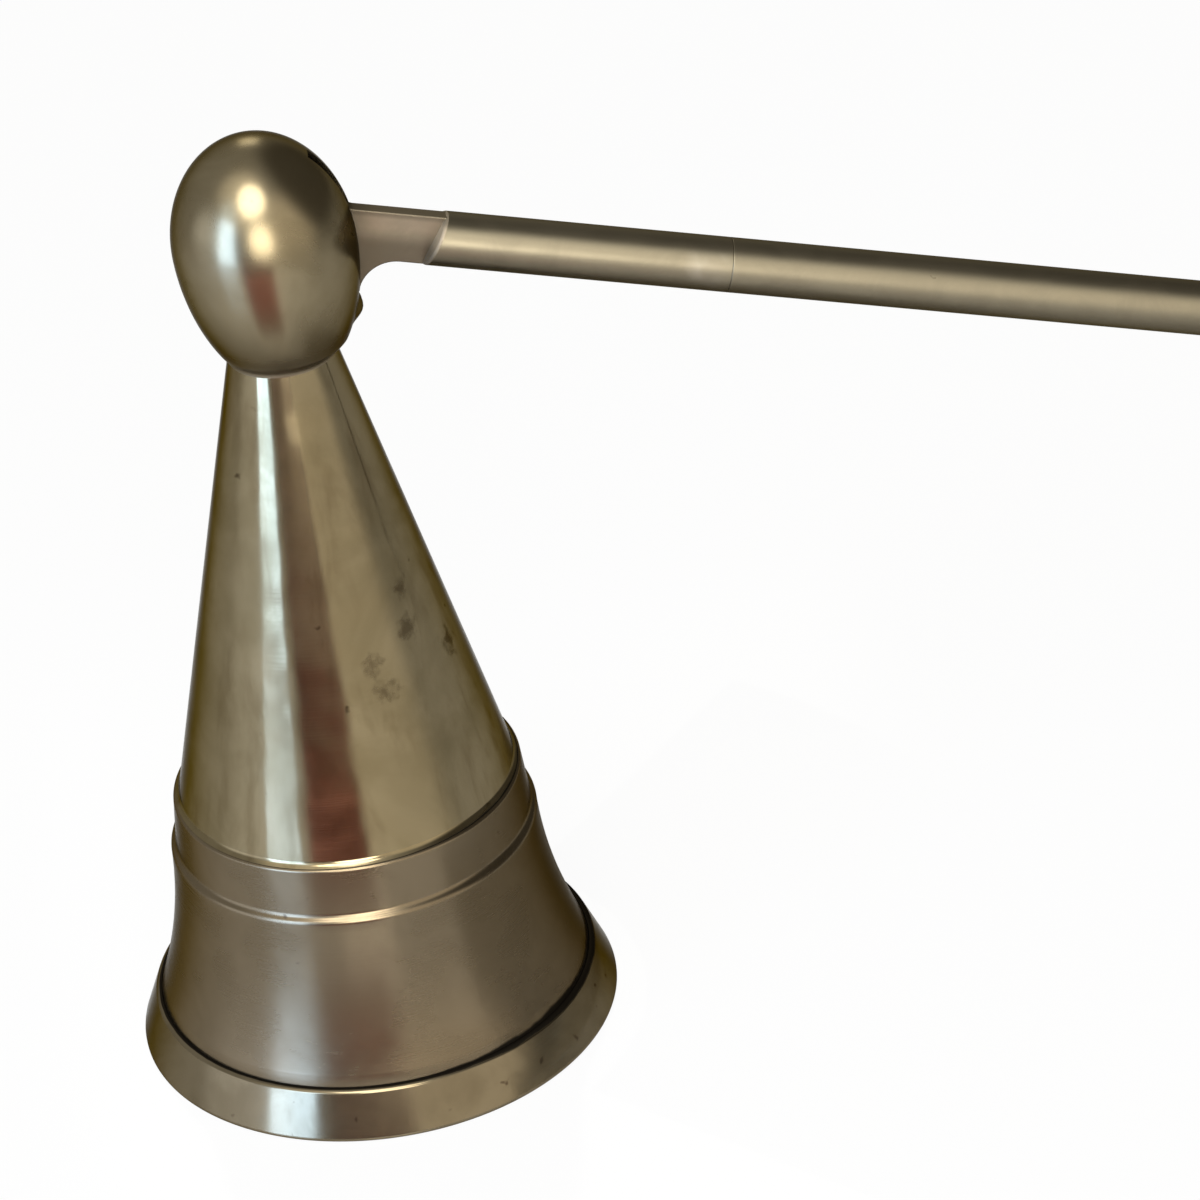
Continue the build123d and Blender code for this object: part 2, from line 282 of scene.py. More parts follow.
section = bmesh.new()
foot = section.verts.new((skirt_foot_radius, 0, rim_height))
flare_top = hollow_curve(section, foot, (skirt_top_radius, 0, skirt_top), skirt_hollow)
inner_foot = section.verts.new((rim_bore, 0, rim_height))
inner_top = hollow_curve(section, inner_foot, (skirt_top_radius - skirt_wall, 0, skirt_top), skirt_hollow)
steps = [section.verts.new((radius, 0, height)) for radius, height in (
    (collar_foot_radius, skirt_top + step_wear), (collar_top_radius, collar_top), (socket_radius, collar_top),
    (socket_radius, socket_floor), (spigot_bore, socket_floor), (spigot_bore, skirt_top))]
sole = [section.verts.new((radius, 0, rim_seat_height)) for radius in (rim_bore, skirt_foot_radius)]
for chain in ([flare_top, *steps, inner_top], [inner_foot, *sole, foot]):
    for here, there in zip(chain, chain[1:]):
        section.edges.new((here, there))
round_corner(section, flare_top, 0.22 * mm)
round_corner(section, steps[0], 0.22 * mm)
round_corner(section, steps[1], 0.25 * mm)
finish_piece("skirt_turned", turn_on_lathe(section), satin_brass, "skirt", "bell")

# Cone. The straight upper bell, hollow, turned from brass and polished bright, since handled and tarnished
# in clouds and spots. Its spigot is soldered into the collar's socket, and its top is solid for the stud.
cone_foot_radius = 12.41 * mm
cone_top_radius = 3.85 * mm
cone_top = 56 * mm
cone_wall = 1.2 * mm
spigot_radius = 11.66 * mm
boss_floor = 47 * mm
foot_solder = 0.25 * mm
cone_slope = (cone_foot_radius - cone_top_radius) / (cone_top - collar_top)
bore_top = collar_top + (cone_foot_radius - cone_wall - spigot_bore) / cone_slope
boss_bore = cone_top_radius + cone_slope * (cone_top - boss_floor) - cone_wall

# Dark spots where the polish has gone through to tarnish: place on the cone and radius
cone_spots = (((5.7, -5.7, 38.7), 0.7), ((5.8, -6.5, 36.0), 0.9), ((2.9, -8.6, 34.3), 0.8),
              ((3.6, -8.8, 32.4), 0.9), ((8.6, -3.9, 32.7), 1.0))

cone_brass, tree, into = start_metal("polished_cone_brass", (0.3, 0.28, 0.25))
cone_tarnish = place_group(tree, tarnish, Cloud=130, Speck=650, Rarity=0.72)
cone_lines = place_group(tree, tool_lines, **{"Lines per metre": 11000})["Lines"]
# Painted shade and grime at the cone's foot, in the corner on the collar
cone_shade_and_grime = place_group(tree, shade_and_grime, Height=collar_top, Reach=0.12 * mm)["Shade and grime"]
place = put(tree, "ShaderNodeTexCoord").outputs["Object"]
ragged = put(tree, "ShaderNodeTexNoise", {"Vector": place, "Scale": 1500, "Detail": 4}).outputs["Fac"]
spotted = None
for spot, size in cone_spots:
    gap = put(tree, "ShaderNodeVectorMath", {0: place, 1: Vector(spot) * mm},
              operation="DISTANCE").outputs["Value"]
    gap = sums(tree, "ADD", sums(tree, "DIVIDE", gap, size * mm), sums(tree, "MULTIPLY", ragged, 3))
    dark = fit_range(tree, gap, 1.5, 2.9, 1, 0)
    spotted = dark if spotted is None else sums(tree, "MAXIMUM", spotted, dark)
spotted = sums(tree, "MULTIPLY", spotted, 0.7)
run_place = put(tree, "ShaderNodeMapping", {"Vector": place, "Scale": (420, 420, 45)}).outputs[0]
runs = put(tree, "ShaderNodeTexNoise", {"Vector": run_place, "Scale": 1, "Detail": 4, "Roughness": 0.6,
                                        "Distortion": 0.4}).outputs["Fac"]
colour = blend_colour(tree, cone_tarnish["Clouding"], (0.27, 0.222, 0.135), (0.21, 0.17, 0.097))
colour = blend_colour(tree, fit_range(tree, runs, 0.46, 0.7, 0, 0.6), colour, (0.16, 0.122, 0.066))
colour = blend_colour(tree, sums(tree, "MAXIMUM", cone_tarnish["Specks"], spotted), colour,
                      (0.075, 0.055, 0.03))
tree.links.new(blend_colour(tree, cone_shade_and_grime, colour, shade_and_grime_colour), into["Base Color"])
shine = sums(tree, "ADD", fit_range(tree, cone_tarnish["Clouding"], 0, 1, 0.11, 0.16),
             sums(tree, "MULTIPLY", spotted, 0.3))
tree.links.new(sums(tree, "MAXIMUM", shine, sums(tree, "MULTIPLY", cone_shade_and_grime, 0.6)), into["Roughness"])
tree.links.new(dent(tree, cone_lines, 0.001 * mm, dent(tree, broad_dents(tree, 210), 0.09 * mm)),
               into["Normal"])

section, corners = draw_outline([(0, cone_top), (cone_top_radius, cone_top),
                                 (cone_foot_radius - cone_slope * foot_solder, collar_top + foot_solder),
                                 (cone_foot_radius + foot_solder, collar_top + 0.01 * mm),
                                 (cone_foot_radius + foot_solder, collar_top), (spigot_radius, collar_top),
                                 (spigot_radius, socket_floor), (spigot_bore, socket_floor),
                                 (spigot_bore, bore_top), (boss_bore, boss_floor), (0, boss_floor)])
round_corner(section, corners[2], 0.2 * mm)
finish_piece("cone_turned", turn_on_lathe(section), cone_brass, "cone", "bell")

# Ball stud. A plain brass stud hidden in the neck, screwed into the cone's boss and the ball's foot. It is
# shown as the CAD made it, with a bare turned surface.
stud_brass, tree, into = start_metal("bare_stud_brass", (0.5, 0.46, 0.4))
stud_tarnish = place_group(tree, tarnish, Cloud=400, Speck=1200, Rarity=0.7)
tree.links.new(blend_colour(tree, stud_tarnish["Clouding"], (0.30, 0.245, 0.15), (0.2, 0.16, 0.1)),
               into["Base Color"])
tree.links.new(fit_range(tree, stud_tarnish["Clouding"], 0, 1, 0.25, 0.4), into["Roughness"])


def dress_node(node, metal):
    """Gives a CAD node that stays in sight its metal."""
    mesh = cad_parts[node].data
    mesh.materials.clear()
    mesh.materials.append(metal)


dress_node("ball_stud", stud_brass)

# Ball. An egg-shaped brass knob, turned and polished, that leans a little back from the handle. A saw slot on
# the handle's side takes the tongue, and a small lip below the slot stops the handle's swing.
ball_radius = 6.44 * mm
ball_rise = 8.12 * mm
ball_drop = 11.07 * mm
ball_centre = Vector((-0.08, 0, 64.5)) * mm
ball_lean = Matrix.Rotation(math.radians(-3.5), 4, "Y")
pivot_height = 66.12 * mm
pivot = Vector((0, 0, pivot_height))
eye_radius = 1.95 * mm
slot_half_width = 0.61 * mm
solder_top = 56.9 * mm
solder_foot = 55.2 * mm
solder_rows = 8
slot_floor_angle = math.radians(-35.85)
slot_roof_angle = math.radians(31.35)
stop_gap = 0.1 * mm
lip_drop = 6.3 * mm
lip_proud = 0.5 * mm
lip_radius = 1.4 * mm
lip_length = 3.2 * mm

ball_brass, tree, into = start_metal("polished_ball_brass", (0.3, 0.28, 0.25))
ball_tarnish = place_group(tree, tarnish, Cloud=190, Speck=800, Rarity=0.75)
ball_lines = place_group(tree, tool_lines, **{"Lines per metre": 9000})["Lines"]
colour = blend_colour(tree, ball_tarnish["Clouding"], (0.25, 0.208, 0.132), (0.205, 0.168, 0.102))
colour = blend_colour(tree, ball_tarnish["Specks"], colour, (0.09, 0.065, 0.04))
height = put(tree, "ShaderNodeSeparateXYZ",
             {"Vector": put(tree, "ShaderNodeTexCoord").outputs["Object"]}).outputs["Z"]
# Painted shade: the ball darkens towards the neck, and below that the solder fillet keeps its own pale colour
painted_foot_shade = fit_range(tree, height, 57 * mm, 63 * mm, 0.75, 0)
bare_solder = fit_range(tree, height, 56.4 * mm, 57.4 * mm, 0.9, 0)
rough_foot = fit_range(tree, height, 56.4 * mm, 58.5 * mm, 0.15, 0)
colour = blend_colour(tree, painted_foot_shade, colour, (0.085, 0.066, 0.04))
tree.links.new(blend_colour(tree, bare_solder, colour, (0.23, 0.192, 0.135)), into["Base Color"])
tree.links.new(sums(tree, "ADD", fit_range(tree, ball_tarnish["Clouding"], 0, 1, 0.23, 0.28), rough_foot),
               into["Roughness"])
tree.links.new(dent(tree, ball_lines, 0.0005 * mm, dent(tree, broad_dents(tree, 170), 0.03 * mm)),
               into["Normal"])

egg = bmesh.new()
bmesh.ops.create_uvsphere(egg, u_segments=192, v_segments=112, radius=ball_radius)
upper = [point for point in egg.verts if point.co.z > 0]
lower = [point for point in egg.verts if point.co.z < 0]
bmesh.ops.scale(egg, vec=(1, 1, ball_rise / ball_radius), verts=upper)
bmesh.ops.scale(egg, vec=(1, 1, ball_drop / ball_radius), verts=lower)
lip_centre = Vector((ball_radius * math.sqrt(1 - (lip_drop / ball_drop) ** 2), 0, -lip_drop))
lip_out = Vector((lip_centre.x / ball_radius ** 2, 0, -lip_drop / ball_drop ** 2)).normalized()
for point in egg.verts:
    gap = point.co - lip_centre
    share = (gap.xz.length / lip_radius) ** 2 + (gap.y * 2 / lip_length) ** 2
    if share < 1:
        point.co += lip_out * lip_proud * (1 - share) ** 2
bmesh.ops.transform(egg, matrix=Matrix.Translation(ball_centre) @ ball_lean, verts=egg.verts[:])
bmesh.ops.bisect_plane(egg, geom=egg.verts[:] + egg.edges[:] + egg.faces[:], plane_co=(0, 0, solder_top),
                       plane_no=(0, 0, -1), clear_outer=True)
loop = [edge for edge in egg.edges if edge.is_boundary]
for step in range(1, solder_rows + 1):
    pulled = bmesh.ops.extrude_edge_only(egg, edges=loop)["geom"]
    loop = [part for part in pulled if isinstance(part, bmesh.types.BMEdge)]
    down = step / solder_rows
    for point in (part for part in pulled if isinstance(part, bmesh.types.BMVert)):
        point.co.z = solder_top - (solder_top - solder_foot) * down
        cone_radius = cone_top_radius + cone_slope * (cone_top - point.co.z) - 0.02 * mm
        round_off = point.co.xy.length - cone_radius
        point.co.xy *= (cone_radius + round_off * (1 - down) ** 1.3) / point.co.xy.length
bmesh.ops.holes_fill(egg, edges=loop)


def plain_object(name, shape):
    """A bare object of a shape, for cutting with."""
    mesh = bpy.data.meshes.new(name)
    shape.to_mesh(mesh)
    shape.free()
    made = bpy.data.objects.new(name, mesh)
    bpy.context.scene.collection.objects.link(made)
    return made


def cut_away(shape, cutters):
    """Cuts shapes out of a shape and returns what is left."""
    block = plain_object("block", shape)
    for cutter in cutters:
        saw = block.modifiers.new("saw", "BOOLEAN")
        saw.operation = "DIFFERENCE"
        saw.solver = "EXACT"
        saw.object = cutter
    left = bmesh.new()
    left.from_object(block, bpy.context.evaluated_depsgraph_get())
    for used in (block, *cutters):
        bpy.data.objects.remove(used)
    return left


def at_angle(distance, angle):
    """A point at a distance from the hinge, at an angle above level in the plane of the swing."""
    return pivot + Vector((math.cos(angle), 0, math.sin(angle))) * distance


saw_cut = bmesh.new()
floor_start = at_angle(eye_radius + stop_gap, slot_floor_angle - math.pi / 2)
roof_start = at_angle(eye_radius + stop_gap, slot_roof_angle + math.pi / 2)
reach = 20 * mm
saw_points = [floor_start, floor_start + at_angle(reach, slot_floor_angle) - pivot,
              roof_start + at_angle(reach, slot_roof_angle) - pivot, roof_start]
saw_side = Vector((0, slot_half_width, 0))
saw_face = saw_cut.faces.new([saw_cut.verts.new(point - saw_side) for point in saw_points])
drawn = bmesh.ops.extrude_face_region(saw_cut, geom=[saw_face])["geom"]
bmesh.ops.translate(saw_cut, vec=(0, 2 * slot_half_width, 0),
                    verts=[part for part in drawn if isinstance(part, bmesh.types.BMVert)])
bmesh.ops.recalc_face_normals(saw_cut, faces=saw_cut.faces[:])
eye_room = bmesh.new()
bmesh.ops.create_cone(eye_room, cap_ends=True, segments=48, radius1=eye_radius + 0.25 * mm,
                      radius2=eye_radius + 0.25 * mm, depth=2 * slot_half_width,
                      matrix=Matrix.Translation(pivot) @ Matrix.Rotation(math.pi / 2, 4, "X"))
egg = cut_away(egg, [plain_object("saw_cut", saw_cut), plain_object("eye_room", eye_room)])
finish_piece("ball_slotted", egg, ball_brass, "ball", "bell")

# Hinge pin. A short brass pin, driven from the far side through the tongue's eye into a blind hole, and
# dressed flush with the ball, where its end shows as a small disc.
dress_node("hinge_pin", stud_brass)

# Front rod. The first length of drawn brass rod. Its end is milled flat on both sides to a thin tongue with a
# curved heel, a small brow and a round eye, and it turns on the pin in the ball's slot.
rod_radius = 1.95 * mm
tongue_half = 0.55 * mm
tongue_edge = math.sqrt(rod_radius ** 2 - tongue_half ** 2)
heel_reach = 7.4 * mm
heel_round = 2.5 * mm
brow_reach = 5.2 * mm
brow_round = 0.9 * mm
shoulder_reach = 12.2 * mm
shoulder_slant = math.tan(math.radians(17))
shoulder_break = 0.25 * mm
seam_reach = 33 * mm
knob_radius = 5.4 * mm
knob_reach = 229 * mm
droop = math.asin((pivot_height - knob_radius) / knob_reach)
along_rod = Matrix.Translation(pivot) @ Matrix.Rotation(droop, 4, "Y")


def start_rod_metal(name, bright, dull, edge_tint, smooth, rough):
    """Satin drawn brass, with fine lines along the rod, clouding, painted shade on its top and underside, solder at
    the seam and painted shade near the slot.
    """
    metal, tree, into = start_metal(name, edge_tint)
    clouding = place_group(tree, tarnish, Cloud=230, Speck=900, Rarity=0.76)
    place = put(tree, "ShaderNodeMapping", {"Vector": put(tree, "ShaderNodeTexCoord").outputs["Object"],
                                            "Location": along_rod.inverted().translation,
                                            "Rotation": (0, -droop, 0)}).outputs[0]
    lies = put(tree, "ShaderNodeSeparateXYZ", {"Vector": place}).outputs
    drawn_place = put(tree, "ShaderNodeMapping", {"Vector": place, "Scale": (40, 3500, 3500)}).outputs[0]
    drawn = put(tree, "ShaderNodeTexNoise", {"Vector": drawn_place, "Scale": 1, "Detail": 2,
                                             "Roughness": 0.6}).outputs["Fac"]
    colour = blend_colour(tree, clouding["Clouding"], bright, dull)
    colour = blend_colour(tree, clouding["Specks"], colour, (0.1, 0.075, 0.05))
    # Painted shade where the tongue goes into the ball's slot
    painted_slot_shade = fit_range(tree, lies["X"], 5 * mm, 8.5 * mm, 0.6, 0)
    # Painted shade: the rod's top and underside are darkened where the metal mirrors dark surroundings
    painted_dark_top = fit_range(tree, lies["Z"], 1.3 * mm, 1.7 * mm, 0, 0.45)
    painted_dark_underside = fit_range(tree, lies["Z"], -0.8 * mm, 0.8 * mm, 0.75, 0)
    colour = blend_colour(tree, painted_slot_shade, colour, (0.03, 0.025, 0.017))
    solder_place = (31.3 * mm, -1.7 * mm, 0.2 * mm)
    from_smear = put(tree, "ShaderNodeVectorMath", {0: place, 1: solder_place},
                     operation="DISTANCE").outputs["Value"]
    smear = sums(tree, "MULTIPLY", fit_range(tree, from_smear, 0.4 * mm, 2.4 * mm, 0.6, 0),
                 fit_range(tree, broad_dents(tree, 600), 0.35, 0.62, 0.35, 1))
    colour = blend_colour(tree, smear, colour, (0.46, 0.42, 0.34))
    colour = blend_colour(tree, painted_dark_top, colour, (0.07, 0.06, 0.043))
    tree.links.new(blend_colour(tree, painted_dark_underside, colour, (0.09, 0.077, 0.055)), into["Base Color"])
    tree.links.new(sums(tree, "ADD", fit_range(tree, clouding["Clouding"], 0, 1, smooth, rough),
                        sums(tree, "MULTIPLY", drawn, 0.08)), into["Roughness"])
    tree.links.new(dent(tree, drawn, 0.0015 * mm), into["Normal"])
    return metal


rod_brass = start_rod_metal("drawn_rod_brass", (0.3, 0.265, 0.187), (0.26, 0.228, 0.16),
                            (0.3, 0.28, 0.25), 0.32, 0.38)
tongue_brass = start_rod_metal("milled_tongue_brass", (0.3, 0.253, 0.182), (0.26, 0.219, 0.156),
                               (0.3, 0.28, 0.25), 0.42, 0.5)
# A lighter copy of the rod's brass for the shoulder's step face: painted light on a face that would otherwise show
# dark
lit_shoulder_brass = start_rod_metal("painted_light_shoulder_brass", (0.45, 0.385, 0.29), (0.4, 0.34, 0.25),
                                 (0.6, 0.56, 0.5), 0.7, 0.8)


def round_bar(shape, start, end, radius):
    """A round bar along the X axis, returning its vertices."""
    stand = Matrix.Translation((start / 2 + end / 2, 0, 0)) @ Matrix.Rotation(math.pi / 2, 4, "Y")
    return bmesh.ops.create_cone(shape, cap_ends=True, segments=96, radius1=radius, radius2=radius,
                                 depth=end - start, matrix=stand)["verts"]


def break_end(shape, reach, width):
    """Chamfers the round edge at one end of a bar."""
    rim = [edge for edge in shape.edges if all(abs(point.co.x - reach) < 0.001 * mm for point in edge.verts)]
    bmesh.ops.bevel(shape, geom=rim, affect="EDGES", offset=width, offset_type="OFFSET", segments=3,
                    profile=0.5, material=-1)


rod = bmesh.new()
round_bar(rod, shoulder_reach - shoulder_break, seam_reach, rod_radius)
break_end(rod, shoulder_reach - shoulder_break, shoulder_break)
break_end(rod, seam_reach, 0.05 * mm)
for face in rod.faces:
    face.material_index = 2 if face.calc_center_median().x < shoulder_reach else 0
for point in rod.verts:
    if point.co.x < shoulder_reach + 2 * mm:
        point.co.x += shoulder_slant * point.co.z

plate = bmesh.new()
back = plate.verts.new((-eye_radius, -tongue_half, 0))
eye_low = bmesh.ops.spin(plate, geom=[back], cent=(0, 0, 0), axis=(0, 1, 0), angle=-math.radians(75), steps=8)
eye_high = bmesh.ops.spin(plate, geom=[back], cent=(0, 0, 0), axis=(0, 1, 0), angle=math.radians(75), steps=8)
ends = [next(part for part in made["geom_last"] if isinstance(part, bmesh.types.BMVert))
        for made in (eye_low, eye_high)]
outline = [plate.verts.new((reach, -tongue_half, rise)) for reach, rise in (
    (heel_reach, -tongue_edge - heel_round), (heel_reach, -tongue_edge), (shoulder_reach + 4 * mm, -tongue_edge),
    (shoulder_reach + 4 * mm, tongue_edge), (brow_reach, tongue_edge), (brow_reach, tongue_edge + brow_round))]
chain = [min(ends, key=lambda point: point.co.z), *outline, max(ends, key=lambda point: point.co.z)]
for here, there in zip(chain, chain[1:]):
    plate.edges.new((here, there))
bmesh.ops.bevel(plate, geom=[outline[1]], affect="VERTICES", offset=heel_round, offset_type="OFFSET", segments=14,
                profile=0.5, material=-1)
bmesh.ops.bevel(plate, geom=[outline[4]], affect="VERTICES", offset=brow_round, offset_type="OFFSET", segments=8,
                profile=0.5, material=-1)
bmesh.ops.contextual_create(plate, geom=plate.edges[:])
drawn = bmesh.ops.extrude_face_region(plate, geom=plate.faces[:])["geom"]
bmesh.ops.translate(plate, vec=(0, 2 * tongue_half, 0),
                    verts=[part for part in drawn if isinstance(part, bmesh.types.BMVert)])
bmesh.ops.recalc_face_normals(plate, faces=plate.faces[:])
corner_edges = [edge for edge in plate.edges if edge.calc_face_angle(0) > math.radians(60)]
bmesh.ops.bevel(plate, geom=corner_edges, affect="EDGES", offset=0.12 * mm, offset_type="OFFSET", segments=3,
                profile=0.5, material=-1)
for face in plate.faces:
    face.material_index = 1
milled = bpy.data.meshes.new("milled")
plate.to_mesh(milled)
plate.free()
rod.from_mesh(milled)
bpy.data.meshes.remove(milled)
bmesh.ops.transform(rod, matrix=along_rod, verts=rod.verts[:])
front = finish_piece("front_rod_milled", rod, rod_brass, "front_rod", "handle")
front.data.materials.append(tongue_brass)
front.data.materials.append(lit_shoulder_brass)

# Rod stud. A plain brass stud hidden inside the rod's seam, sweated into a blind hole of each length. It is
# shown as the CAD made it.
dress_node("rod_stud", stud_brass)

# Rear rod. The long second length of drawn brass rod, butted to the first at a fine seam and turned down to a
# tenon at its far end, which the knob is driven on.
neck_length = 1.2 * mm
rod_end = knob_reach - knob_radius - neck_length
tenon_radius = 1.5 * mm
tenon_length = 5 * mm
rod = bmesh.new()
round_bar(rod, seam_reach, rod_end, rod_radius)
break_end(rod, seam_reach, 0.05 * mm)
break_end(rod, rod_end, 0.1 * mm)
round_bar(rod, rod_end - 1 * mm, rod_end + tenon_length, tenon_radius)
bmesh.ops.transform(rod, matrix=along_rod, verts=rod.verts[:])
finish_piece("rear_rod_drawn", rod, rod_brass, "rear_rod", "handle")

# End knob. A small brass ball with a short neck, turned in one piece, driven on the rod's tenon. It rests on
# the table when the bell stands.
neck_radius = 3 * mm
neck_top = knob_radius + neck_length
knob_brass, tree, into = start_metal("turned_knob_brass", (0.3, 0.28, 0.25))
knob_tarnish = place_group(tree, tarnish, Cloud=230, Speck=900, Rarity=0.74)
colour = blend_colour(tree, knob_tarnish["Clouding"], (0.29, 0.25, 0.17), (0.235, 0.2, 0.132))
tree.links.new(blend_colour(tree, knob_tarnish["Specks"], colour, (0.1, 0.075, 0.05)), into["Base Color"])
tree.links.new(fit_range(tree, knob_tarnish["Clouding"], 0, 1, 0.22, 0.3), into["Roughness"])
tree.links.new(dent(tree, broad_dents(tree, 190), 0.03 * mm), into["Normal"])

section = bmesh.new()
pole = section.verts.new((0, 0, -knob_radius))
swung = math.pi - math.asin(neck_radius / knob_radius)
arc = bmesh.ops.spin(section, geom=[pole], cent=(0, 0, 0), axis=(0, 1, 0), angle=-swung, steps=40)
throat = next(part for part in arc["geom_last"] if isinstance(part, bmesh.types.BMVert))
collar = [section.verts.new((radius, 0, neck_top)) for radius in (neck_radius, 0)]
for here, there in ((throat, collar[0]), (collar[0], collar[1])):
    section.edges.new((here, there))
round_corner(section, collar[0], 0.4 * mm)
round_corner(section, throat, 0.3 * mm)
knob = turn_on_lathe(section)
lay = along_rod @ Matrix.Translation((knob_reach, 0, 0)) @ Matrix.Rotation(-math.pi / 2, 4, "Y")
bmesh.ops.transform(knob, matrix=lay, verts=knob.verts[:])
finish_piece("end_knob_turned", knob, knob_brass, "end_knob", "handle")

# Table. A plain white surface with a slight gloss under the snuffer. It looks white to the eye, paler than grey
# in the metal, and it keeps a faint part of the snuffer's shadow.
ground = bmesh.new()
bmesh.ops.create_grid(ground, x_segments=1, y_segments=1, size=6)
table_mesh = bpy.data.meshes.new("table")
ground.to_mesh(table_mesh)
ground.free()
table = bpy.data.objects.new("table", table_mesh)
bpy.context.scene.collection.objects.link(table)
table_white = bpy.data.materials.new("table_white")
table_white.use_nodes = True
tree = table_white.node_tree
tree.nodes.clear()
glow = put(tree, "ShaderNodeEmission", {"Color": (1, 1, 1, 1), "Strength": 1}).outputs[0]
path = put(tree, "ShaderNodeLightPath").outputs
mirrored = sums(tree, "MAXIMUM", path["Is Glossy Ray"], path["Is Transmission Ray"])
share = sums(tree, "MAXIMUM", sums(tree, "MULTIPLY", path["Is Camera Ray"], 0.93),
             sums(tree, "MULTIPLY", mirrored, 0.1))
gloss = put(tree, "ShaderNodeBsdfPrincipled", {"Base Color": (0.64, 0.64, 0.64, 1),
                                               "Roughness": 0.12}).outputs[0]
white = put(tree, "ShaderNodeMixShader", {0: share, 1: gloss, 2: glow}).outputs[0]
put(tree, "ShaderNodeOutputMaterial", {"Surface": white})
table_mesh.materials.append(table_white)

# Studio. Pale walls that are lighter in front and on the left and dark behind the handle, a tall cool softbox
# on the left, two round lamps in front and one lamp behind. Two cloths on the table, which only the metal
# mirrors, give the bell its reddish bands and its grey bands; the grey cloth is painted shade for the table
# near the bell.


def towards(azimuth, elevation, distance):
    """A spot seen from the bell, by angle right of the camera's side and above level."""
    turn, lift = math.radians(azimuth), math.radians(elevation)
    return Vector((math.sin(turn) * math.cos(lift), -math.cos(turn) * math.cos(lift), math.sin(lift))) * distance


studio = bpy.data.worlds.new("studio")
studio.use_nodes = True
bpy.context.scene.world = studio
tree = studio.node_tree
tree.nodes.clear()
look = put(tree, "ShaderNodeTexCoord").outputs["Generated"]
wall = (0.54, 0.53, 0.5)
for side, start, full, light in ((towards(33, 6, 1), 0.62, 0.95, (1.3, 1.2, 1.04)),
                                 (towards(-72, 0, 1), 0.86, 0.98, (1.5, 1.57, 1.72)),
                                 (towards(-32, 50, 1), 0.76, 0.96, (1.5, 1.45, 1.32)),
                                 (towards(-48, 31, 1), 0.965, 0.997, (1.9, 2.2, 2.6)),
                                 (towards(108, 30, 1), 0.55, 0.85, (0.13, 0.12, 0.1))):
    facing = put(tree, "ShaderNodeVectorMath", {0: look, 1: side}, operation="DOT_PRODUCT").outputs["Value"]
    wall = blend_colour(tree, fit_range(tree, facing, start, full, 0, 1), wall, light)
walls = put(tree, "ShaderNodeBackground", {"Color": wall, "Strength": 1}).outputs[0]
backdrop = put(tree, "ShaderNodeBackground", {"Color": (1, 1, 1, 1), "Strength": 1}).outputs[0]
to_eye = put(tree, "ShaderNodeLightPath").outputs["Is Camera Ray"]
seen = put(tree, "ShaderNodeMixShader", {0: to_eye, 1: walls, 2: backdrop}).outputs[0]
put(tree, "ShaderNodeOutputWorld", {"Surface": seen})


def aim(spot, target):
    """Places something at a spot so that it faces a target."""
    turn = (Vector(target) - Vector(spot)).to_track_quat("-Z", "Y")
    return Matrix.Translation(spot) @ turn.to_matrix().to_4x4()


def hang_lamp(name, shape, size, height, brightness, colour, spot, target):
    """An area lamp of a given brightness per area, facing a target."""
    lamp = bpy.data.lights.new(name, "AREA")
    lamp.shape = shape
    lamp.size = size
    lamp.size_y = height
    area = size * height if shape == "RECTANGLE" else math.pi * size ** 2 / 4
    lamp.energy = brightness * area * math.pi
    lamp.color = colour
    lit = bpy.data.objects.new(name, lamp)
    bpy.context.scene.collection.objects.link(lit)
    lit.matrix_world = aim(spot, target)
    lit.visible_camera = False


middle = Vector((0, 0, 0.05))
box_middle = Vector((0, 0, 0.103))
ball_middle = Vector((0, 0, 0.066))
hang_lamp("softbox", "RECTANGLE", 0.116, 0.19, 8, (0.39, 0.6, 1.0), box_middle + towards(-47.5, 0, 0.3), box_middle)
hang_lamp("high_lamp", "DISK", 0.38, 0, 6.2, (1.0, 0.97, 0.9), middle + towards(-10, 49, 0.6), middle)
hang_lamp("low_lamp", "DISK", 0.13, 0, 8, (1.0, 0.97, 0.9), ball_middle + towards(-2, 10, 0.26), ball_middle)
hang_lamp("back_lamp", "RECTANGLE", 0.17, 0.25, 2.8, (1.0, 0.98, 0.93), middle + towards(178, 36, 0.7),
          middle)


def lay_cloth(name, left, right, near, far, fold):
    """A cloth on the table between two directions, with its far edge folded up, that only the metal mirrors."""
    cloth = bmesh.new()
    bmesh.ops.create_grid(cloth, x_segments=12, y_segments=1, size=1)
    for point in cloth.verts:
        across = left + (right - left) * (point.co.x + 1) / 2
        point.co = towards(across, 0, near if point.co.y > 0 else far) + Vector((0, 0, 0.001))
    far_edge = [edge for edge in cloth.edges
                if all(point.co.length > (near + far) / 2 for point in edge.verts)]
    risen = bmesh.ops.extrude_edge_only(cloth, edges=far_edge)["geom"]
    bmesh.ops.translate(cloth, vec=(0, 0, fold),
                        verts=[part for part in risen if isinstance(part, bmesh.types.BMVert)])
    mesh = bpy.data.meshes.new(name)
    cloth.to_mesh(mesh)
    cloth.free()
    laid = bpy.data.objects.new(name, mesh)
    bpy.context.scene.collection.objects.link(laid)
    laid.visible_camera = laid.visible_diffuse = laid.visible_shadow = False
    dyed = bpy.data.materials.new(name)
    dyed.use_nodes = True
    dyed.node_tree.nodes["Principled BSDF"].inputs["Roughness"].default_value = 0.9
    mesh.materials.append(dyed)
    return dyed.node_tree, dyed.node_tree.nodes["Principled BSDF"].inputs


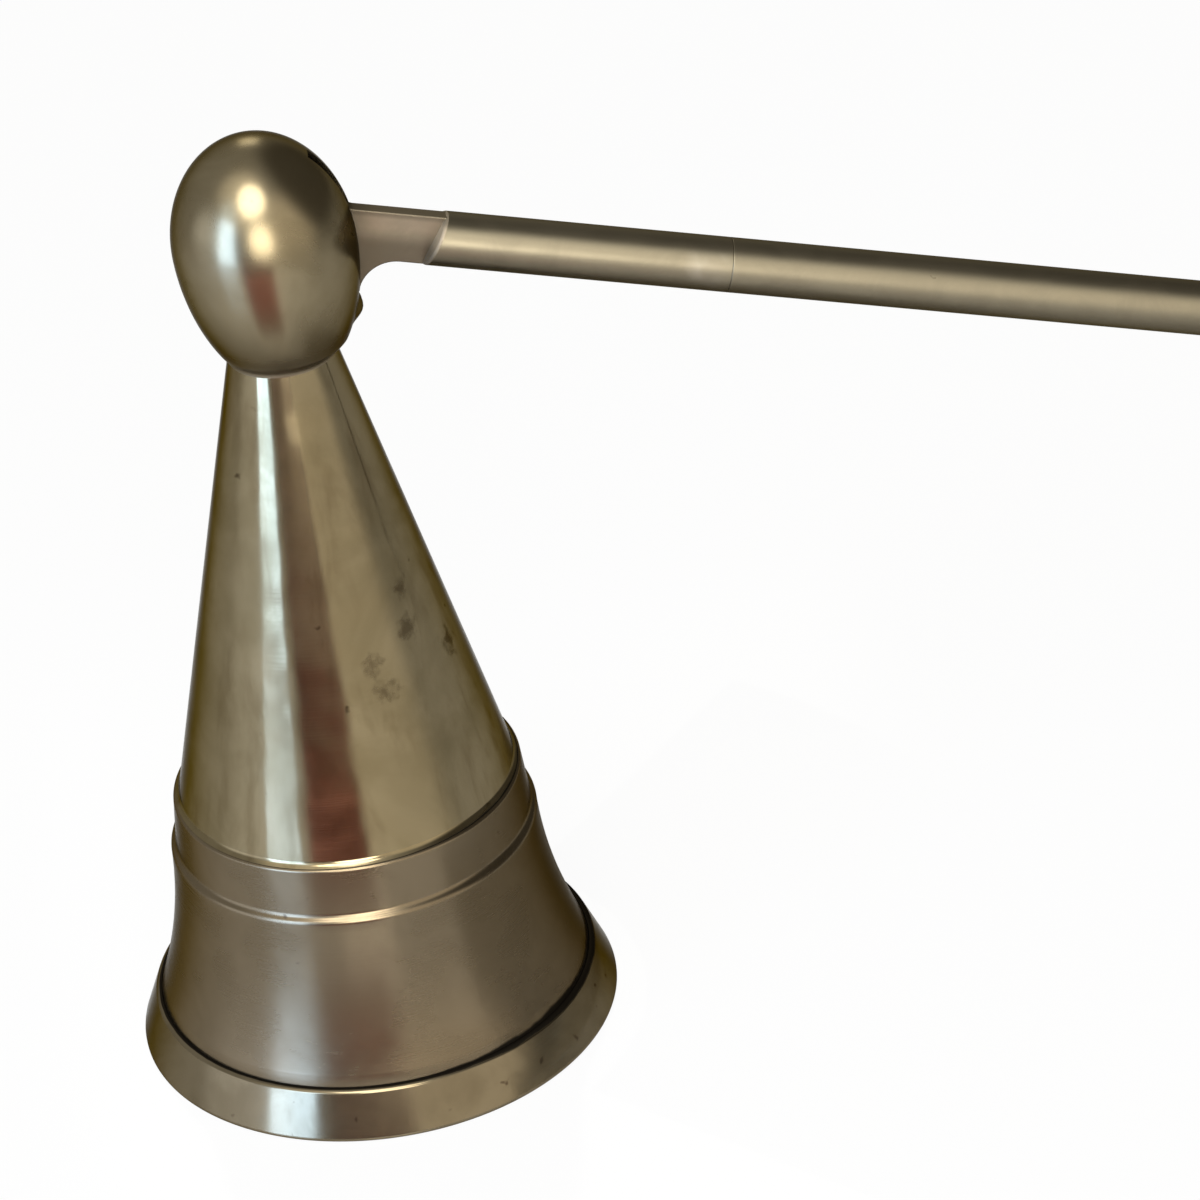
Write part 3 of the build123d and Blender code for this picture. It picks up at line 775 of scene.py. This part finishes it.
red_left, red_right, frayed = -34, 10, 8
red_near, red_far, red_fold = 0.04, 0.21, 0.07
tree, dyed = lay_cloth("red_cloth", red_left, red_right, red_near, red_far, red_fold)
place = put(tree, "ShaderNodeTexCoord").outputs["Object"]
away = put(tree, "ShaderNodeVectorMath", {0: place}, operation="LENGTH").outputs["Value"]
lies = put(tree, "ShaderNodeSeparateXYZ", {"Vector": place}).outputs
lying = blend_colour(tree, fit_range(tree, away, 0.05, 0.09, 0, 1), (0.29, 0.2, 0.168), (0.29, 0.105, 0.09))
folded = fit_range(tree, lies["Z"], 0.012, 0.024, 0, 1)
tree.links.new(blend_colour(tree, folded, lying, (0.6, 0.48, 0.45)), dyed["Base Color"])
across = sums(tree, "ARCTAN2", lies["X"], sums(tree, "MULTIPLY", lies["Y"], -1))
thin = fit_range(tree, across, math.radians(red_left), math.radians(red_left + frayed), 0, 1)
thin = sums(tree, "MULTIPLY", thin,
            fit_range(tree, across, math.radians(red_right - frayed), math.radians(red_right), 1, 0))
thin = sums(tree, "MULTIPLY", thin, fit_range(tree, lies["Z"], red_fold - 0.02, red_fold, 1, 0))
thin = sums(tree, "MULTIPLY", thin, fit_range(tree, away, red_near, red_near + 0.02, 0, 1))
tree.links.new(thin, dyed["Alpha"])
# A grey cloth near the bell's right that stands in for the shade on the table: painted shade that only the metal
# mirrors
tree, dyed = lay_cloth("table_shade_cloth", 45, 140, 0.02, 0.05, 0.002)
dyed["Base Color"].default_value = (0.36, 0.34, 0.3, 1)

# Camera. It stands in front of the snuffer and a little above it, as the photograph was taken, and has a long
# lens that sees the bell, the ball and the first part of the handle.
camera = bpy.data.cameras.new("camera")
camera.sensor_width = 36
camera.lens = 170.53
viewer = bpy.data.objects.new("camera", camera)
bpy.context.scene.collection.objects.link(viewer)
yaw, pitch, roll = 0.0569, 0.5464, -0.1229
ahead = Vector((math.sin(yaw) * math.cos(pitch), math.cos(yaw) * math.cos(pitch), -math.sin(pitch)))
level = Vector((math.cos(yaw), -math.sin(yaw), 0))
upright = level.cross(ahead)
right = level * math.cos(roll) + upright * math.sin(roll)
up = upright * math.cos(roll) - level * math.sin(roll)
stand = Matrix.Translation((0, -0.35116, 0.24563))
viewer.matrix_world = stand @ Matrix((right, up, -ahead)).transposed().to_4x4()
bpy.context.scene.camera = viewer
bpy.context.scene.view_settings.view_transform = "Standard"
